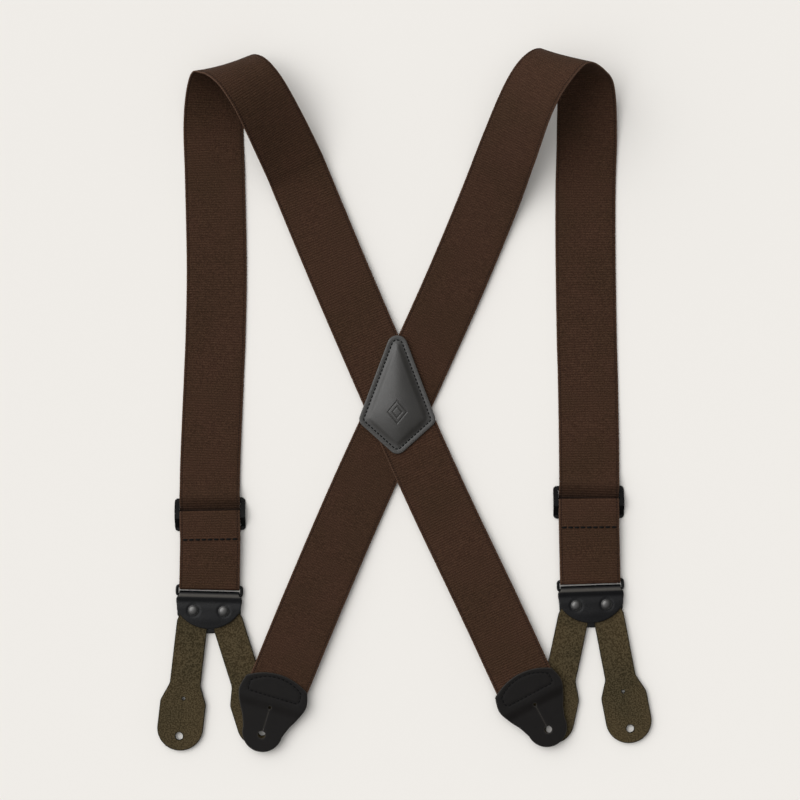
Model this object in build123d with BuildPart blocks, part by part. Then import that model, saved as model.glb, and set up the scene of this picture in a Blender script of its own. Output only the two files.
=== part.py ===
from build123d import *
import os
from math import atan2, cos, degrees, radians, sin

# X-back work suspenders, laid flat with the back side up.
# +X is to the right, +Y towards the shoulders, +Z up from the table.
# The origin is on the table, under the middle of the crossing of the two straps.

os.makedirs("parts", exist_ok=True)

# ---- driving dimensions, mm ----
WEBBING_WIDTH = 50.8
WEBBING = 1.5                  # webbing thickness
LEATHER = 1.9                  # patch and flap leather
LINING = 1.3                   # thin leather under a back tab
BACK_COVER = 1.6               # leather over the strap in a back tab
TAB_LEATHER = 2.1              # front tabs
LAYER_GAP = 0.1                # air between sewn layers

# crossing patch: a kite with rounded corners
KITE_TOP = 78.2
KITE_HALF_WIDTH = 33.3
KITE_SIDE_Y = -10.5
KITE_BOTTOM = -40.5
KITE_TOP_RADIUS = 8.7
KITE_SIDE_RADIUS = 7.0
KITE_BOTTOM_RADIUS = 8.0
SEAM_INSET = 4.0               # stitch line to leather edge

# thread
STITCH_LENGTH = 2.4
STITCH_PITCH = 3.4
LONG_PITCH = 5.4               # of the seam across a strap's sewn end
SEAM_MARGIN = 2.0              # that seam stops short of the selvedges
THREAD = 0.7
THREAD_HEIGHT = 0.35

# three-bar slide
SLIDE_WIDTH = 59.6
SLIDE_LENGTH = 27.5
SLIDE_PLATE = 1.2
SLIDE_CORNER = 3.0
END_BAR = 3.5
CENTRE_BAR = 3.0
RAIL_CLEARANCE = 0.4           # webbing edge to rail
SEAM_BELOW_BAR = 21.0          # seam of the sewn end, from the centre bar
SEWN_END = 24.0                # length of the folded end, from the centre bar
DROP_START = 0.8               # where the run down to the ring starts, below the centre bar

# ring and its two wraps
WIRE = 2.6
RING_WIDTH = 54.4              # between the centre lines of the side wires
RING_BAR_GAP = 7.6             # between the centre lines of the two long bars
RING_CORNER = 1.8
RING_HEIGHT = 3.25             # wire centre above the table
WRAP_CLEARANCE = 0.1
ROLL_CLEARANCE = 0.05
FOLD_LEG = 6.0                 # straight webbing beside the ring's upper bar

# leather flap
FLAP_ROLL_WIDTH = 50.6
FLAP_HALF_WIDTH = 26.7
FLAP_NECK = 3.0                # from the bar down to where the flap widens
FLAP_SIDE = 12.8               # from the bar down to the end of the straight side
FLAP_LENGTH = 28.1
FAR_LEAF_EXTRA = 4.2           # the far leaf hangs a little lower
RIVET_SPACING = 25.6
RIVET_BELOW_BAR = 12.9
RIVET_SHAFT = 1.6
RIVET_HEAD = 4.5
RIVET_RIM = 0.4
RIVET_DOME = 1.4               # rise of the dome above its rim
RIVET_BASE = 4.0
RIVET_BASE_THICKNESS = 0.8
RIVET_FIT = 0.05
RIVET_SOCKET = 0.9             # how far the shaft enters the cap

# front tabs, measured from the rivet
TAB_EYE = 10.3                 # radius of the leather round the rivet
TAB_PIVOT_CLEARANCE = 0.2
TAB_NECK = 13.0                # half width of the neck
TAB_HEAD = 19.3                # half width of the head
TAB_EYE_END = 10.0
TAB_FLARE_START = 63.0
TAB_FLARE_END = 78.0
TAB_FLARE_RADIUS = 9.0
TAB_LENGTH = 119.1
TAB_END_RADIUS = 19.2
SLIT_HOLE_DISTANCE = 75.0
BUTTONHOLE_DISTANCE = 106.9
BUTTONHOLE = 3.2               # radius
SLIT_HOLE = 1.3                # radius
SLIT = 0.5

# back tabs, measured from the buttonhole
BACK_LOBE = 17.0               # radius of the free end
BACK_LOBE_CENTRE = 2.6
BACK_SHOULDER = 29.5           # half width over the strap
BACK_SHOULDER_Y = 32.5
BACK_TOP = 53.0
BACK_TOP_CORNER = 27.0
BACK_TOP_CORNER_Y = 44.5
BACK_WAIST = 20.6
BACK_WAIST_Y = 12.0
BACK_FLARE = 25.2
BACK_FLARE_Y = 20.5
BACK_CORNER_LEAN = 1.1         # inward slope of the sides at the top corners
STRAP_END_Y = 28.0             # end of the webbing inside the tab
POCKET_CLEARANCE = 2.2         # room past that end, and past the tab's sides
LOWER_SEAM_Y = 32.0
BACK_SLIT_HOLE_Y = 24.0
BACK_SLIT_HOLE = 1.4
SEAM_SIDE = 21.0

# heights of the layers above the table
TAB_BASE = 2.2
NEAR_LEAF_BASE = RING_HEIGHT + WIRE / 2 + ROLL_CLEARANCE
NEAR_LEAF_TOP = NEAR_LEAF_BASE + LEATHER
UNDER_STRAP = LEATHER + LAYER_GAP
OVER_STRAP = UNDER_STRAP + WEBBING + LAYER_GAP
PATCH_BASE = OVER_STRAP + WEBBING + LAYER_GAP
PATCH_TOP = PATCH_BASE + LEATHER
PASSING_BASE = SLIDE_PLATE + LAYER_GAP
SEWN_BASE = PASSING_BASE + WEBBING + LAYER_GAP
BAR_BASE = SEWN_BASE + WEBBING + LAYER_GAP
BAR_TOP = BAR_BASE + SLIDE_PLATE
RETURN_BASE = BAR_TOP + LAYER_GAP
LINING_BASE = 4.6
BACK_STRAP_BASE = LINING_BASE + LINING + LAYER_GAP
BACK_TAB_TOP = BACK_STRAP_BASE + WEBBING + LAYER_GAP + BACK_COVER
BACK_SPLIT_Y = -76.9           # where the lower end of a diagonal starts to flex

# Middle heights of the webbing where its height is set by what it lies on
MID = WEBBING / 2
THROUGH = PASSING_BASE + MID   # passing through a slide
UNDER = UNDER_STRAP + MID      # under the other strap, on the backing
OVER = OVER_STRAP + MID        # over the other strap
IN_TAB = BACK_STRAP_BASE + MID

# Each strap is named after the shoulder it goes over, and each unit after its side.
# A station is the middle of the webbing x, y, z, then the direction across it in degrees:
# how far it is turned about +Z, and how far its right edge is banked up.
STATION_STEPS = 5              # sections from one station to the next
STRAPS = {
    "left": {
        "front": [(-158, -88.9, THROUGH, 1, 0), (-158, -50, THROUGH, -1, 0),
                  (-155, 25, MID, -2, 0), (-153.5, 62, MID, -1, 0)],
        "loop": [(-152.5, 120, MID, 0, 0), (-154, 195, 1, 1, 0), (-155, 240, 2, 1, -5),
                 (-151, 280, 14, 10, -28), (-142, 287, 28, 25, -32), (-130, 281, 40, 33, -28),
                 (-118.5, 267, 44, 35, -22), (-107.5, 248, 38, 33, -17), (-88, 208, 14, 27, -6),
                 (-77.5, 183, 6, 25, -2), (-45, 105, 4.6, 24, 0), (0.5, 0, OVER, 24, 0),
                 (35, BACK_SPLIT_Y, 4.5, 24.5, 0)],
        "back": [(75.5, -162, 6, 25.5, 0), (103.4, -222.3, IN_TAB, 27.3, 0),
                 (113.9, -245.2, IN_TAB, 28, 0)],
    },
    "right": {
        "front": [(161.5, -78.6, THROUGH, 0.5, 0), (162, -45, THROUGH, 0, 0),
                  (161, 25, MID, 1, 0), (160, 62, MID, 1, 0)],
        "loop": [(159, 130, MID, 0, 0), (159, 185, 1, -1, 0), (160, 230, 2, -1, 5),
                 (158.5, 270, 9, -4, 21), (152, 286, 22, -15, 33), (138, 292, 40, -21, 33),
                 (122, 279, 49, -30, 28), (108, 256, 46, -34, 23), (92.5, 216, 25, -28, 13),
                 (76, 172, 5, -24, 4), (45, 98, 3.1, -23.5, 0), (0.5, 0, UNDER, -24, 0),
                 (-34.5, BACK_SPLIT_Y, 3, -24, 0)],
        "back": [(-71, -162, 5.6, -23, 0), (-96.5, -223.9, IN_TAB, -18.9, 0),
                 (-106.2, -247.5, IN_TAB, -17, 0)],
    },
}

# side: places and angles (degrees) of the slide, ring, tabs and back tab
UNITS = {
    "left": {"slide": (-158.0, -88.9), "slide_angle": 1.0,
             "ring": (-158.6, -157.2), "ring_angle": -1.5,
             "outer": (-RIVET_SPACING / 2, -6.6), "inner": (RIVET_SPACING / 2, 17.5),
             "back": (-114.3, -274.3), "back_angle": -16.8, "back_strap": "right"},
    "right": {"slide": (161.5, -78.6), "slide_angle": 0.5,
              "ring": (163.1, -152.2), "ring_angle": 2.1,
              "outer": (RIVET_SPACING / 2, 10.9), "inner": (-RIVET_SPACING / 2, -12),
              "back": (127.1, -269.9), "back_angle": 28.05, "back_strap": "left"},
}


def flat_plane(origin, angle, height=0.0):
    """A plane parallel to the table, turned by angle degrees about +Z."""
    turn = radians(angle)
    return Plane(origin=(origin[0], origin[1], height), x_dir=(cos(turn), sin(turn), 0), z_dir=(0, 0, 1))


def side_plane(origin, angle, x):
    """The upright plane across a unit: its x runs up the strap and its y is +Z."""
    turn = radians(angle)
    point = (origin[0] + x * cos(turn), origin[1] + x * sin(turn), 0)
    return Plane(origin=point, x_dir=(-sin(turn), cos(turn), 0), z_dir=(cos(turn), sin(turn), 0))


def unit_point(origin, angle, x, y):
    """A point given in a unit's own frame, in the frame of the whole object."""
    turn = radians(angle)
    return (origin[0] + x * cos(turn) - y * sin(turn), origin[1] + x * sin(turn) + y * cos(turn))


def between(stations, steps):
    """Stations with extra ones between them, on a smooth curve through them all."""
    rows = [stations[0]] + stations + [stations[-1]]
    smooth = []
    for index in range(1, len(rows) - 2):
        before, start, end, after = rows[index - 1:index + 3]
        for step in range(steps):
            t = step / steps
            smooth.append([0.5 * (2 * b + (c - a) * t + (2 * a - 5 * b + 4 * c - d) * t ** 2
                                  + (3 * b - 3 * c + d - a) * t ** 3)
                           for a, b, c, d in zip(before, start, end, after)])
    return smooth + [rows[-1]]


def section_planes(stations):
    """One plane across the webbing at each station, square to its run."""
    planes = []
    for index, (*point, turn, bank) in enumerate(stations):
        ahead = Vector(*stations[min(index + 1, len(stations) - 1)][:3])
        behind = Vector(*stations[max(index - 1, 0)][:3])
        along = (ahead - behind).normalized()
        across = Vector(1, 0, 0).rotate(Axis.Y, -bank).rotate(Axis.Z, turn)
        level = (across - along * across.dot(along)).normalized()
        planes.append(Plane(origin=point, x_dir=level, z_dir=along))
    return planes


def webbing(planes):
    """A length of webbing through the given section planes."""
    with BuildPart() as strap:
        for plane in planes:
            with BuildSketch(plane):
                Rectangle(WEBBING_WIDTH, WEBBING)
        loft(ruled=True)
    return strap.part


def save(part, name):
    part.label = name
    export_step(part, f"parts/{name}.step")


# ---- straps: each is one length of webbing, in three nodes where it flexes ----
back_end_side = {unit["back_strap"]: side for side, unit in UNITS.items()}
for side, strap in STRAPS.items():
    planes = section_planes(between(strap["front"] + strap["loop"] + strap["back"], STATION_STEPS))
    front_end = (len(strap["front"]) - 1) * STATION_STEPS
    loop_end = front_end + len(strap["loop"]) * STATION_STEPS
    save(webbing(planes[:front_end + 1]), f"{side}_strap_front")
    save(webbing(planes[front_end:loop_end + 1]), f"{side}_strap")
    save(webbing(planes[loop_end:]), f"{back_end_side[side]}_back_end")


# ---- crossing patch ----
def kite(inset):
    """The patch outline, moved in by inset, as a face on the current sketch plane."""
    with BuildLine() as outline:
        Polyline((0, KITE_TOP), (KITE_HALF_WIDTH, KITE_SIDE_Y), (0, KITE_BOTTOM),
                 (-KITE_HALF_WIDTH, KITE_SIDE_Y), close=True)
    with BuildSketch(Plane.XY) as sketch:
        with BuildLine():
            add(outline.line)
        make_face()
        corners = sketch.vertices()
        fillet(corners.sort_by(Axis.Y)[-1], KITE_TOP_RADIUS)
        fillet(sketch.vertices().filter_by(lambda v: abs(v.X) > KITE_HALF_WIDTH - 1), KITE_SIDE_RADIUS)
        fillet(sketch.vertices().sort_by(Axis.Y)[0], KITE_BOTTOM_RADIUS)
        if inset:
            offset(amount=-inset, mode=Mode.REPLACE)
    return sketch.sketch


with BuildPart() as patch_front:
    with BuildSketch(Plane.XY.offset(PATCH_BASE)):
        add(kite(0))
    extrude(amount=LEATHER)
save(patch_front.part, "patch_front")

with BuildPart() as patch_backing:
    with BuildSketch(Plane.XY):
        add(kite(0))
    extrude(amount=LEATHER)
save(patch_backing.part, "patch_backing")


def stitches_along(wire, height, count):
    """Separate stitches, end to end along a wire, lying on the leather at height."""
    places = []
    for index in range(count):
        where = wire.position_at((index + 0.5) / count)
        heading = wire.tangent_at((index + 0.5) / count)
        places.append(Location((where.X, where.Y, height), (0, 0, degrees(atan2(heading.Y, heading.X)))))
    with BuildPart() as stitches:
        with Locations(*places):
            Box(STITCH_LENGTH, THREAD, THREAD_HEIGHT, align=(Align.CENTER, Align.CENTER, Align.MIN))
    return stitches.part


seam_wire = kite(SEAM_INSET).faces()[0].outer_wire()
save(stitches_along(seam_wire, PATCH_TOP, round(seam_wire.length / STITCH_PITCH)), "patch_stitching")

# ---- slide, sewn end, ring, flap, rivets and tabs of each side ----
RAIL_INSIDE = WEBBING_WIDTH / 2 + RAIL_CLEARANCE
RAIL_WIDTH = SLIDE_WIDTH / 2 - RAIL_INSIDE
RAIL_END = SLIDE_LENGTH / 2 - SLIDE_CORNER
BAR_MIDDLE = (BAR_BASE + BAR_TOP) / 2
WRAP_INSIDE = WIRE / 2 + WRAP_CLEARANCE
WRAP_OUTSIDE = WRAP_INSIDE + WEBBING
ROLL_INSIDE = WIRE / 2 + ROLL_CLEARANCE
ROLL_OUTSIDE = ROLL_INSIDE + LEATHER
DOME_RADIUS = (RIVET_HEAD ** 2 + RIVET_DOME ** 2) / (2 * RIVET_DOME)


def wrapped_profile(y, z, inside, outside, leg, turn_up):
    """A band folded round a bar at (y, z), as a face: two legs joined by a half ring."""
    way = 1 if turn_up else -1
    leg_end = y - way * leg
    with BuildSketch() as band:
        with BuildLine():
            Polyline((y, z + inside), (leg_end, z + inside), (leg_end, z + outside), (y, z + outside))
            ThreePointArc((y, z + outside), (y + way * outside, z), (y, z - outside))
            Polyline((y, z - outside), (leg_end, z - outside), (leg_end, z - inside), (y, z - inside))
            ThreePointArc((y, z - inside), (y + way * inside, z), (y, z + inside))
        make_face()
    return band.sketch


def leaf_outline(extra):
    """One leaf of the flap, hanging below the ring's lower bar."""
    half_roll = FLAP_ROLL_WIDTH / 2
    side_end = -FLAP_SIDE - extra
    with BuildSketch() as leaf:
        with BuildLine():
            Polyline((-FLAP_HALF_WIDTH, side_end), (-FLAP_HALF_WIDTH, -FLAP_NECK),
                     (-half_roll, -FLAP_NECK), (-half_roll, 0), (half_roll, 0),
                     (half_roll, -FLAP_NECK), (FLAP_HALF_WIDTH, -FLAP_NECK), (FLAP_HALF_WIDTH, side_end))
            ThreePointArc((FLAP_HALF_WIDTH, side_end), (0, -FLAP_LENGTH - extra),
                          (-FLAP_HALF_WIDTH, side_end))
        make_face()
    return leaf.sketch


def front_tab(plane):
    """A front tab on a plane at its rivet, whose -Y runs down the tab."""
    with BuildPart() as tab:
        with BuildSketch(plane):
            Circle(TAB_EYE)
            with BuildLine():
                Polyline((-TAB_EYE, 0), (-TAB_NECK, -TAB_EYE_END), (-TAB_NECK, -TAB_FLARE_START),
                         (-TAB_HEAD, -TAB_FLARE_END), (-TAB_HEAD, TAB_END_RADIUS - TAB_LENGTH),
                         (TAB_HEAD, TAB_END_RADIUS - TAB_LENGTH), (TAB_HEAD, -TAB_FLARE_END),
                         (TAB_NECK, -TAB_FLARE_START), (TAB_NECK, -TAB_EYE_END), (TAB_EYE, 0),
                         close=True)
            make_face()
            with Locations((0, TAB_END_RADIUS - TAB_LENGTH)):
                Circle(TAB_END_RADIUS)
            Circle(RIVET_SHAFT + TAB_PIVOT_CLEARANCE, mode=Mode.SUBTRACT)
            with Locations((0, -SLIT_HOLE_DISTANCE)):
                Circle(SLIT_HOLE, mode=Mode.SUBTRACT)
            with Locations((0, -BUTTONHOLE_DISTANCE)):
                Circle(BUTTONHOLE, mode=Mode.SUBTRACT)
            with Locations((0, -(SLIT_HOLE_DISTANCE + BUTTONHOLE_DISTANCE) / 2)):
                Rectangle(SLIT, BUTTONHOLE_DISTANCE - SLIT_HOLE_DISTANCE, mode=Mode.SUBTRACT)
        extrude(amount=TAB_LEATHER)
        flare = tab.edges().filter_by(Axis.Z).filter_by(
            lambda e: abs(abs(plane.to_local_coords(e.center()).X) - TAB_NECK) < 0.1
            and abs(plane.to_local_coords(e.center()).Y + TAB_FLARE_START) < 0.1)
        fillet(flare, TAB_FLARE_RADIUS)
        shoulder = tab.edges().filter_by(Axis.Z).filter_by(
            lambda e: abs(plane.to_local_coords(e.center()).Y + TAB_FLARE_END) < 0.1)
        fillet(shoulder, TAB_FLARE_RADIUS)
    return tab.part


def back_tab_outline():
    """The outline of a back tab, with its buttonhole at the sketch's origin."""
    with BuildSketch() as outline:
        with BuildLine():
            for way in (1, -1):
                Spline((way * BACK_LOBE, BACK_LOBE_CENTRE), (way * BACK_WAIST, BACK_WAIST_Y),
                       (way * BACK_FLARE, BACK_FLARE_Y), (way * BACK_SHOULDER, BACK_SHOULDER_Y),
                       (way * BACK_TOP_CORNER, BACK_TOP_CORNER_Y),
                       tangents=((0, 1), (-way * BACK_CORNER_LEAN, 1)))
            ThreePointArc((BACK_TOP_CORNER, BACK_TOP_CORNER_Y), (0, BACK_TOP),
                          (-BACK_TOP_CORNER, BACK_TOP_CORNER_Y))
            ThreePointArc((BACK_LOBE, BACK_LOBE_CENTRE), (0, BACK_LOBE_CENTRE - BACK_LOBE),
                          (-BACK_LOBE, BACK_LOBE_CENTRE))
        make_face()
        Circle(BUTTONHOLE, mode=Mode.SUBTRACT)
        with Locations((0, BACK_SLIT_HOLE_Y)):
            Circle(BACK_SLIT_HOLE, mode=Mode.SUBTRACT)
        with Locations((0, BACK_SLIT_HOLE_Y / 2)):
            Rectangle(SLIT, BACK_SLIT_HOLE_Y, mode=Mode.SUBTRACT)
    return outline.sketch


for side, unit in UNITS.items():
    slide_at, slide_angle = unit["slide"], unit["slide_angle"]
    ring_at, ring_angle = unit["ring"], unit["ring_angle"]

    # three-bar slide: end bars on the table, a raised centre bar and two arched rails
    with BuildPart() as slide:
        with BuildSketch(flat_plane(slide_at, slide_angle)):
            RectangleRounded(SLIDE_WIDTH, SLIDE_LENGTH, SLIDE_CORNER)
            Rectangle(2 * RAIL_INSIDE, SLIDE_LENGTH - 2 * END_BAR, mode=Mode.SUBTRACT)
        extrude(amount=SLIDE_PLATE)
        for x in (-SLIDE_WIDTH / 2, RAIL_INSIDE):
            with BuildSketch(side_plane(slide_at, slide_angle, x)):
                with BuildLine():
                    Polyline((-RAIL_END, 0), (-RAIL_END, SLIDE_PLATE), (-CENTRE_BAR, BAR_TOP),
                             (CENTRE_BAR, BAR_TOP), (RAIL_END, SLIDE_PLATE), (RAIL_END, 0), close=True)
                make_face()
            extrude(amount=RAIL_WIDTH)
        with BuildSketch(side_plane(slide_at, slide_angle, -RAIL_INSIDE)):
            with Locations((0, BAR_MIDDLE)):
                RectangleRounded(CENTRE_BAR, SLIDE_PLATE, SLIDE_PLATE / 2 - 0.01)
        extrude(amount=2 * RAIL_INSIDE)
    save(slide.part, f"{side}_slide")

    # the webbing's end, folded round the centre bar and back under itself
    with BuildPart() as sewn_end:
        with BuildSketch(side_plane(slide_at, slide_angle, -WEBBING_WIDTH / 2)):
            add(wrapped_profile(CENTRE_BAR / 2 - SLIDE_PLATE / 2, BAR_MIDDLE, SLIDE_PLATE / 2 + LAYER_GAP,
                                SLIDE_PLATE / 2 + LAYER_GAP + WEBBING, SEWN_END, True))
        extrude(amount=WEBBING_WIDTH)
    save(sewn_end.part, f"{side}_sewn_end")

    seam_left = unit_point(slide_at, slide_angle, SEAM_MARGIN - WEBBING_WIDTH / 2, -SEAM_BELOW_BAR)
    seam_right = unit_point(slide_at, slide_angle, WEBBING_WIDTH / 2 - SEAM_MARGIN, -SEAM_BELOW_BAR)
    seam = Edge.make_line(seam_left, seam_right)
    save(stitches_along(seam, RETURN_BASE + WEBBING, round(seam.length / LONG_PITCH)), f"{side}_seam")

    # webbing between the slide and the ring: the run down, the fold and the run back up
    fold_y = RING_BAR_GAP + FOLD_LEG
    down_at = unit_point(slide_at, slide_angle, 0, -DROP_START)
    clear_at = unit_point(slide_at, slide_angle, 0, -SLIDE_LENGTH / 2 - DROP_START)
    slide_plane = flat_plane(slide_at, slide_angle)
    ring_plane = flat_plane(ring_at, ring_angle)
    down_top = Plane(origin=(*down_at, PASSING_BASE + MID), x_dir=slide_plane.x_dir,
                     z_dir=-slide_plane.y_dir)
    down_clear = Plane(origin=(*clear_at, PASSING_BASE + MID), x_dir=down_top.x_dir, z_dir=down_top.z_dir)
    fold_at = unit_point(ring_at, ring_angle, 0, fold_y)
    down_end = Plane(origin=(*fold_at, RING_HEIGHT - WRAP_INSIDE - MID),
                     x_dir=ring_plane.x_dir, z_dir=-ring_plane.y_dir)
    save(webbing([down_top, down_clear, down_end]), f"{side}_strap_drop")

    sewn_at = unit_point(slide_at, slide_angle, 0, CENTRE_BAR / 2 - SLIDE_PLATE / 2 - SEWN_END)
    up_top = Plane(origin=(*sewn_at, RETURN_BASE + MID), x_dir=down_top.x_dir, z_dir=down_top.z_dir)
    up_end = Plane(origin=(*fold_at, RING_HEIGHT + WRAP_INSIDE + MID), x_dir=down_end.x_dir,
                   z_dir=down_end.z_dir)
    save(webbing([up_top, up_end]), f"{side}_strap_return")

    with BuildPart() as ring_fold:
        with BuildSketch(side_plane(ring_at, ring_angle, -WEBBING_WIDTH / 2)):
            add(wrapped_profile(RING_BAR_GAP, RING_HEIGHT, WRAP_INSIDE, WRAP_OUTSIDE, FOLD_LEG, False))
        extrude(amount=WEBBING_WIDTH)
    save(ring_fold.part, f"{side}_ring_fold")

    # wire ring: half of it swept round two corners, then mirrored
    with BuildPart() as ring:
        ring_middle = unit_point(ring_at, ring_angle, 0, RING_BAR_GAP / 2)
        with BuildLine(flat_plane(ring_middle, ring_angle, RING_HEIGHT)) as path:
            half_width, half_gap = RING_WIDTH / 2, RING_BAR_GAP / 2
            FilletPolyline((0, half_gap), (half_width, half_gap), (half_width, -half_gap),
                           (0, -half_gap), radius=RING_CORNER)
        with BuildSketch(side_plane(ring_at, ring_angle, 0)):
            with Locations((RING_BAR_GAP, RING_HEIGHT)):
                Circle(WIRE / 2)
        sweep(path=path.wires()[0])
        mirror(about=side_plane(ring_at, ring_angle, 0))
    save(ring.part, f"{side}_ring")

    # flap: one piece of leather folded round the ring's lower bar
    with BuildPart() as flap:
        with BuildSketch(side_plane(ring_at, ring_angle, -FLAP_ROLL_WIDTH / 2)):
            add(wrapped_profile(0, RING_HEIGHT, ROLL_INSIDE, ROLL_OUTSIDE, FLAP_NECK, True))
        extrude(amount=FLAP_ROLL_WIDTH)
        with BuildSketch(flat_plane(ring_at, ring_angle, NEAR_LEAF_BASE)):
            add(leaf_outline(0))
        extrude(amount=LEATHER)
        with BuildSketch(flat_plane(ring_at, ring_angle)):
            add(leaf_outline(FAR_LEAF_EXTRA))
        extrude(amount=LEATHER)
        with BuildSketch(flat_plane(ring_at, ring_angle)):
            with Locations((-RIVET_SPACING / 2, -RIVET_BELOW_BAR), (RIVET_SPACING / 2, -RIVET_BELOW_BAR)):
                Circle(RIVET_SHAFT + RIVET_FIT)
        extrude(amount=NEAR_LEAF_TOP, mode=Mode.SUBTRACT)
        with BuildSketch(flat_plane(ring_at, ring_angle)):
            with Locations((-RIVET_SPACING / 2, -RIVET_BELOW_BAR), (RIVET_SPACING / 2, -RIVET_BELOW_BAR)):
                Circle(RIVET_BASE + RIVET_FIT)
        extrude(amount=RIVET_BASE_THICKNESS, mode=Mode.SUBTRACT)
    save(flap.part, f"{side}_flap")

    for place in ("outer", "inner"):
        rivet_x, tab_turn = unit[place]
        rivet_at = unit_point(ring_at, ring_angle, rivet_x, -RIVET_BELOW_BAR)

        with BuildPart() as rivet_post:
            with BuildSketch(flat_plane(rivet_at, 0)):
                Circle(RIVET_BASE)
            extrude(amount=RIVET_BASE_THICKNESS)
            with BuildSketch(flat_plane(rivet_at, 0)):
                Circle(RIVET_SHAFT)
            extrude(amount=NEAR_LEAF_TOP + RIVET_SOCKET)
        save(rivet_post.part, f"{side}_{place}_rivet_post")

        with BuildPart() as rivet_cap:
            with BuildSketch(flat_plane(rivet_at, 0, NEAR_LEAF_TOP)):
                Circle(RIVET_HEAD)
            extrude(amount=RIVET_RIM + RIVET_DOME)
            with Locations((*rivet_at, NEAR_LEAF_TOP + RIVET_RIM + RIVET_DOME - DOME_RADIUS)):
                Sphere(DOME_RADIUS, mode=Mode.INTERSECT)
            with BuildSketch(flat_plane(rivet_at, 0, NEAR_LEAF_TOP)):
                Circle(RIVET_SHAFT + RIVET_FIT)
            extrude(amount=RIVET_SOCKET + RIVET_FIT, mode=Mode.SUBTRACT)
        save(rivet_cap.part, f"{side}_{place}_rivet_cap")

        save(front_tab(flat_plane(rivet_at, tab_turn, TAB_BASE)), f"{side}_{place}_tab")

    # back tab: front leather with a pocket for the strap's end, lining and thread
    back_at, back_angle = unit["back"], unit["back_angle"]
    with BuildPart() as back_tab:
        with BuildSketch(flat_plane(back_at, back_angle, BACK_STRAP_BASE)):
            add(back_tab_outline())
        extrude(amount=BACK_TAB_TOP - BACK_STRAP_BASE)
        pocket = BACK_TOP - STRAP_END_Y + POCKET_CLEARANCE
        with BuildSketch(flat_plane(back_at, back_angle, BACK_STRAP_BASE)):
            with Locations((0, BACK_TOP - pocket / 2)):
                Rectangle(2 * (BACK_SHOULDER + POCKET_CLEARANCE), pocket)
        extrude(amount=WEBBING + LAYER_GAP, mode=Mode.SUBTRACT)
    save(back_tab.part, f"{side}_back_tab")

    with BuildPart() as back_lining:
        with BuildSketch(flat_plane(back_at, back_angle, LINING_BASE)):
            add(back_tab_outline())
        extrude(amount=LINING)
    save(back_lining.part, f"{side}_back_tab_lining")

    with BuildLine(flat_plane(back_at, back_angle)) as back_seam:
        seam_top = ThreePointArc((-SEAM_SIDE, BACK_TOP_CORNER_Y - SEAM_INSET), (0, BACK_TOP - SEAM_INSET),
                                 (SEAM_SIDE, BACK_TOP_CORNER_Y - SEAM_INSET))
        Polyline(seam_top @ 1, (SEAM_SIDE, LOWER_SEAM_Y), (-SEAM_SIDE, LOWER_SEAM_Y), seam_top @ 0)
    back_wire = back_seam.wires()[0]
    save(stitches_along(back_wire, BACK_TAB_TOP, round(back_wire.length / STITCH_PITCH)),
         f"{side}_back_tab_stitching")
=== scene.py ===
"""The visual model of a pair of X-back work suspenders, laid flat with the back side up."""
from math import cos, pi, radians, sin

import bpy
import numpy as np
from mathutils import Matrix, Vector
from mathutils.geometry import delaunay_2d_cdt


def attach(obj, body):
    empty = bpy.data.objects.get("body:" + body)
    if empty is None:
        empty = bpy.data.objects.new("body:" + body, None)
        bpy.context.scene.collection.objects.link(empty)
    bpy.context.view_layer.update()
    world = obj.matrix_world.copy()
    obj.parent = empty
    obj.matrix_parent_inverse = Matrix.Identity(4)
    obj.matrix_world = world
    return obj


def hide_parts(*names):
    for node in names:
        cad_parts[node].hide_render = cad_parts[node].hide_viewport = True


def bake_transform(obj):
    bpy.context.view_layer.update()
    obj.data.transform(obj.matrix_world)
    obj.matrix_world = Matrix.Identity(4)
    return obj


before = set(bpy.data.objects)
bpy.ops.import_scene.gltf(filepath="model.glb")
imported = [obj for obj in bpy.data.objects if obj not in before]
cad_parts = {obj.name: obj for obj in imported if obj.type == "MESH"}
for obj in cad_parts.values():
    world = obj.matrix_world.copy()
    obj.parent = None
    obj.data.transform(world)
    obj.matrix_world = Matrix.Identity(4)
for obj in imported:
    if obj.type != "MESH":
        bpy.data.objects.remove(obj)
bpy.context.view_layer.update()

MM = 0.001                     # shapes are worked out in millimetres and written in metres
rng = np.random.default_rng(7)

# ---- the same driving dimensions as the CAD model, mm ----
WEBBING_WIDTH = 50.8
WEBBING = 1.5
LEATHER = 1.9
LINING = 1.3
BACK_COVER = 1.6
TAB_LEATHER = 2.1
LAYER_GAP = 0.1
MID = WEBBING / 2

KITE = [(0, 78.2), (-33.3, -10.5), (0, -40.5), (33.3, -10.5)]
KITE_RADII = [8.7, 7.0, 8.0, 7.0]
SEAM_INSET = 4.0
STITCH_PITCH = 3.4
LONG_PITCH = 5.4
SEAM_MARGIN = 2.0

SLIDE_PLATE = 1.2
SLIDE_LENGTH = 27.5
SEAM_BELOW_BAR = 21.0
SEWN_END = 24.0
DROP_START = 0.8
THROUGH = SLIDE_PLATE + LAYER_GAP + MID
BAR_MIDDLE = SLIDE_PLATE * 1.5 + 3 * LAYER_GAP + 2 * WEBBING
BAR_WRAP = SLIDE_PLATE / 2 + LAYER_GAP + MID
BAR_EDGE = 0.9                 # from the centre bar's middle line to its rounded edge's centre

WIRE = 2.6
RING_WIDTH = 54.4
RING_BAR_GAP = 7.6
RING_CORNER = 1.8
RING_HEIGHT = 3.25
FOLD_LEG = 6.0
FOLD_WRAP = WIRE / 2 + 0.1 + MID
ROLL_WRAP = WIRE / 2 + 0.05 + LEATHER / 2
FULLNESS = 1.09                # folds stand this much fuller than a half circle

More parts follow.
